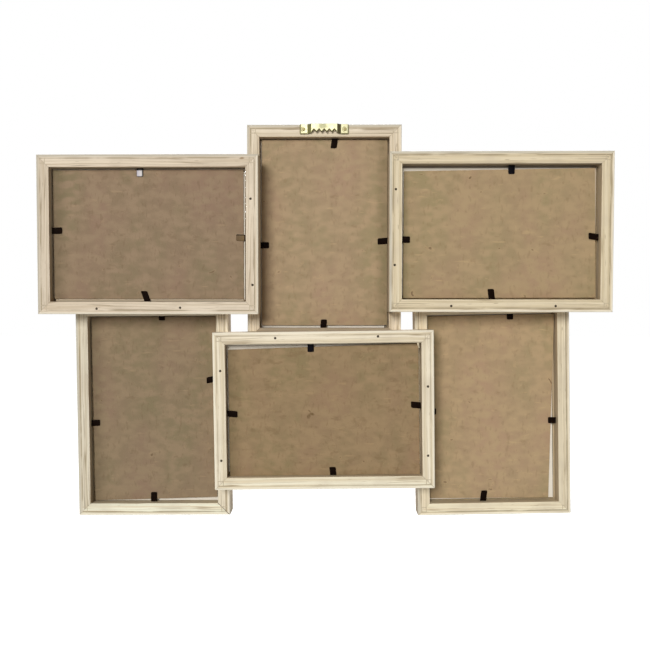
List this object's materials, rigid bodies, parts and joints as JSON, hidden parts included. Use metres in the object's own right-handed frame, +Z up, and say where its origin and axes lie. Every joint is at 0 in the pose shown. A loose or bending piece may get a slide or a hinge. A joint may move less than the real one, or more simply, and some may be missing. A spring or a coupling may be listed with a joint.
{
  "type": "collage photo frame",
  "caption": "Wall collage of mitred wooden picture frames nailed together in layers, each with glass, backing board and bendable tabs, hung from a sawtooth hanger.",
  "frame": {"origin": "on the wall nail, where it meets the hanger's middle notch, in the back plane of the deeper layer of frames", "axes": "+X to the right as the back is seen, +Y from the back to the picture side, +Z up"},
  "size_m": [0.449, 0.038, 0.3183],
  "materials": {
    "pale_wood_moulding": "pale matte wood grain",
    "hardboard": "matte pressed fibre",
    "clear_glass": "clear and smooth",
    "blank_white_sheet": "matte white",
    "brass_plated_hanger": "bright plated sheet",
    "nail_steel": "plain wire",
    "black_tab_metal": "black coated spring sheet"
  },
  "bodies": {
    "frame_assembly": {"upper_left_rail_top": "pale_wood_moulding", "upper_left_rail_right": "pale_wood_moulding", "upper_left_rail_bottom": "pale_wood_moulding", "upper_left_rail_left": "pale_wood_moulding", "upper_left_backing_board": "hardboard", "upper_centre_rail_top": "pale_wood_moulding", "upper_centre_rail_right": "pale_wood_moulding", "upper_centre_rail_bottom": "pale_wood_moulding", "upper_centre_rail_left": "pale_wood_moulding", "upper_centre_backing_board": "hardboard", "upper_right_rail_top": "pale_wood_moulding", "upper_right_rail_right": "pale_wood_moulding", "upper_right_rail_bottom": "pale_wood_moulding", "upper_right_rail_left": "pale_wood_moulding", "upper_right_backing_board": "hardboard", "lower_left_rail_top": "pale_wood_moulding", "lower_left_rail_right": "pale_wood_moulding", "lower_left_rail_bottom": "pale_wood_moulding", "lower_left_rail_left": "pale_wood_moulding", "lower_left_backing_board": "hardboard", "lower_centre_rail_top": "pale_wood_moulding", "lower_centre_rail_right": "pale_wood_moulding", "lower_centre_rail_bottom": "pale_wood_moulding", "lower_centre_rail_left": "pale_wood_moulding", "lower_centre_backing_board": "hardboard", "lower_right_rail_top": "pale_wood_moulding", "lower_right_rail_right": "pale_wood_moulding", "lower_right_rail_bottom": "pale_wood_moulding", "lower_right_rail_left": "pale_wood_moulding", "lower_right_backing_board": "hardboard", "glass_panes": "clear_glass", "photo_inserts": "blank_white_sheet", "sawtooth_hanger": "brass_plated_hanger", "nails": "nail_steel", "tab_roots": "black_tab_metal", "corner_nails": "nail_steel"},
    "upper_left_top_tab": {"upper_left_tab_top": "black_tab_metal"},
    "upper_left_right_tab": {"upper_left_tab_right": "black_tab_metal"},
    "upper_left_bottom_tab": {"upper_left_tab_bottom": "black_tab_metal"},
    "upper_left_left_tab": {"upper_left_tab_left": "black_tab_metal"},
    "upper_centre_top_tab": {"upper_centre_tab_top": "black_tab_metal"},
    "upper_centre_right_tab": {"upper_centre_tab_right": "black_tab_metal"},
    "upper_centre_bottom_tab": {"upper_centre_tab_bottom": "black_tab_metal"},
    "upper_centre_left_tab": {"upper_centre_tab_left": "black_tab_metal"},
    "upper_right_top_tab": {"upper_right_tab_top": "black_tab_metal"},
    "upper_right_right_tab": {"upper_right_tab_right": "black_tab_metal"},
    "upper_right_bottom_tab": {"upper_right_tab_bottom": "black_tab_metal"},
    "upper_right_left_tab": {"upper_right_tab_left": "black_tab_metal"},
    "lower_left_top_tab": {"lower_left_tab_top": "black_tab_metal"},
    "lower_left_right_tab": {"lower_left_tab_right": "black_tab_metal"},
    "lower_left_bottom_tab": {"lower_left_tab_bottom": "black_tab_metal"},
    "lower_left_left_tab": {"lower_left_tab_left": "black_tab_metal"},
    "lower_centre_top_tab": {"lower_centre_tab_top": "black_tab_metal"},
    "lower_centre_right_tab": {"lower_centre_tab_right": "black_tab_metal"},
    "lower_centre_bottom_tab": {"lower_centre_tab_bottom": "black_tab_metal"},
    "lower_centre_left_tab": {"lower_centre_tab_left": "black_tab_metal"},
    "lower_right_top_tab": {"lower_right_tab_top": "black_tab_metal"},
    "lower_right_right_tab": {"lower_right_tab_right": "black_tab_metal"},
    "lower_right_bottom_tab": {"lower_right_tab_bottom": "black_tab_metal"},
    "lower_right_left_tab": {"lower_right_tab_left": "black_tab_metal"}
  },
  "joints": [
    {"name": "upper_left_top_tab_bend", "type": "hinge", "parent": "frame_assembly", "child": "upper_left_top_tab", "pos_m": [-0.14474, -0.0142, -0.03336], "axis": [-1, 0, 0], "range_deg": [0, 90]},
    {"name": "upper_left_right_tab_bend", "type": "hinge", "parent": "frame_assembly", "child": "upper_left_right_tab", "pos_m": [-0.06119, -0.0142, -0.08787], "axis": [0, 0, 1], "range_deg": [0, 90]},
    {"name": "upper_left_bottom_tab_bend", "type": "hinge", "parent": "frame_assembly", "child": "upper_left_bottom_tab", "pos_m": [-0.13942, -0.0142, -0.13776], "axis": [1, 0, 0], "range_deg": [0, 90]},
    {"name": "upper_left_left_tab_bend", "type": "hinge", "parent": "frame_assembly", "child": "upper_left_left_tab", "pos_m": [-0.21458, -0.0142, -0.0821], "axis": [0, 0, -1], "range_deg": [0, 90]},
    {"name": "upper_centre_top_tab_bend", "type": "hinge", "parent": "frame_assembly", "child": "upper_centre_top_tab", "pos_m": [0.00866, 0.0048, -0.00545], "axis": [-1, 0, 0], "range_deg": [0, 90]},
    {"name": "upper_centre_right_tab_bend", "type": "hinge", "parent": "frame_assembly", "child": "upper_centre_right_tab", "pos_m": [0.0522, 0.0048, -0.08808], "axis": [0, 0, 1], "range_deg": [0, 60]},
    {"name": "upper_centre_bottom_tab_bend", "type": "hinge", "parent": "frame_assembly", "child": "upper_centre_bottom_tab", "pos_m": [-0.00073, 0.0048, -0.15885], "axis": [1, 0, 0], "range_deg": [0, 90]},
    {"name": "upper_centre_left_tab_bend", "type": "hinge", "parent": "frame_assembly", "child": "upper_centre_left_tab", "pos_m": [-0.0522, 0.0048, -0.09185], "axis": [0, 0, -1], "range_deg": [0, 60]},
    {"name": "upper_right_top_tab_bend", "type": "hinge", "parent": "frame_assembly", "child": "upper_right_top_tab", "pos_m": [0.14639, -0.0142, -0.03151], "axis": [-1, 0, 0], "range_deg": [0, 90]},
    {"name": "upper_right_right_tab_bend", "type": "hinge", "parent": "frame_assembly", "child": "upper_right_right_tab", "pos_m": [0.21439, -0.0142, -0.08754], "axis": [0, 0, 1], "range_deg": [0, 90]},
    {"name": "upper_right_bottom_tab_bend", "type": "hinge", "parent": "frame_assembly", "child": "upper_right_bottom_tab", "pos_m": [0.13184, -0.0142, -0.13591], "axis": [1, 0, 0], "range_deg": [0, 90]},
    {"name": "upper_right_left_tab_bend", "type": "hinge", "parent": "frame_assembly", "child": "upper_right_left_tab", "pos_m": [0.06099, -0.0142, -0.08927], "axis": [0, 0, -1], "range_deg": [0, 90]},
    {"name": "lower_left_top_tab_bend", "type": "hinge", "parent": "frame_assembly", "child": "lower_left_top_tab", "pos_m": [-0.13349, 0.0048, -0.14972], "axis": [-1, 0, -0.0079], "range_deg": [0, 90]},
    {"name": "lower_left_right_tab_bend", "type": "hinge", "parent": "frame_assembly", "child": "lower_left_right_tab", "pos_m": [-0.08803, 0.0048, -0.20081], "axis": [-0.0079, 0, 1], "range_deg": [0, 90]},
    {"name": "lower_left_bottom_tab_bend", "type": "hinge", "parent": "frame_assembly", "child": "lower_left_bottom_tab", "pos_m": [-0.141, 0.0048, -0.30318], "axis": [1, 0, 0.0079], "range_deg": [0, 90]},
    {"name": "lower_left_left_tab_bend", "type": "hinge", "parent": "frame_assembly", "child": "lower_left_left_tab", "pos_m": [-0.19214, 0.0048, -0.23828], "axis": [0.0079, 0, -1], "range_deg": [0, 90]},
    {"name": "lower_centre_top_tab_bend", "type": "hinge", "parent": "frame_assembly", "child": "lower_centre_top_tab", "pos_m": [-0.01046, -0.0142, -0.17128], "axis": [-0.9999, 0, -0.0131], "range_deg": [0, 90]},
    {"name": "lower_centre_right_tab_bend", "type": "hinge", "parent": "frame_assembly", "child": "lower_centre_right_tab", "pos_m": [0.07666, -0.0142, -0.21983], "axis": [-0.0131, 0, 0.9999], "range_deg": [0, 90]},
    {"name": "lower_centre_bottom_tab_bend", "type": "hinge", "parent": "frame_assembly", "child": "lower_centre_bottom_tab", "pos_m": [0.00754, -0.0142, -0.27546], "axis": [0.9999, 0, 0.0131], "range_deg": [0, 90]},
    {"name": "lower_centre_left_tab_bend", "type": "hinge", "parent": "frame_assembly", "child": "lower_centre_left_tab", "pos_m": [-0.07666, -0.0142, -0.22666], "axis": [0.0131, 0, -0.9999], "range_deg": [0, 90]},
    {"name": "lower_right_top_tab_bend", "type": "hinge", "parent": "frame_assembly", "child": "lower_right_top_tab", "pos_m": [0.15155, 0.0048, -0.1476], "axis": [-0.9998, 0, -0.0209], "range_deg": [0, 90]},
    {"name": "lower_right_right_tab_bend", "type": "hinge", "parent": "frame_assembly", "child": "lower_right_right_tab", "pos_m": [0.18972, 0.0048, -0.23469], "axis": [-0.0209, 0, 0.9998], "range_deg": [0, 90]},
    {"name": "lower_right_bottom_tab_bend", "type": "hinge", "parent": "frame_assembly", "child": "lower_right_bottom_tab", "pos_m": [0.13088, 0.0048, -0.30147], "axis": [0.9998, 0, 0.0209], "range_deg": [0, 90]},
    {"name": "lower_right_left_tab_bend", "type": "hinge", "parent": "frame_assembly", "child": "lower_right_left_tab", "pos_m": [0.08516, 0.0048, -0.22787], "axis": [0.0209, 0, -0.9998], "range_deg": [0, 60]}
  ]
}
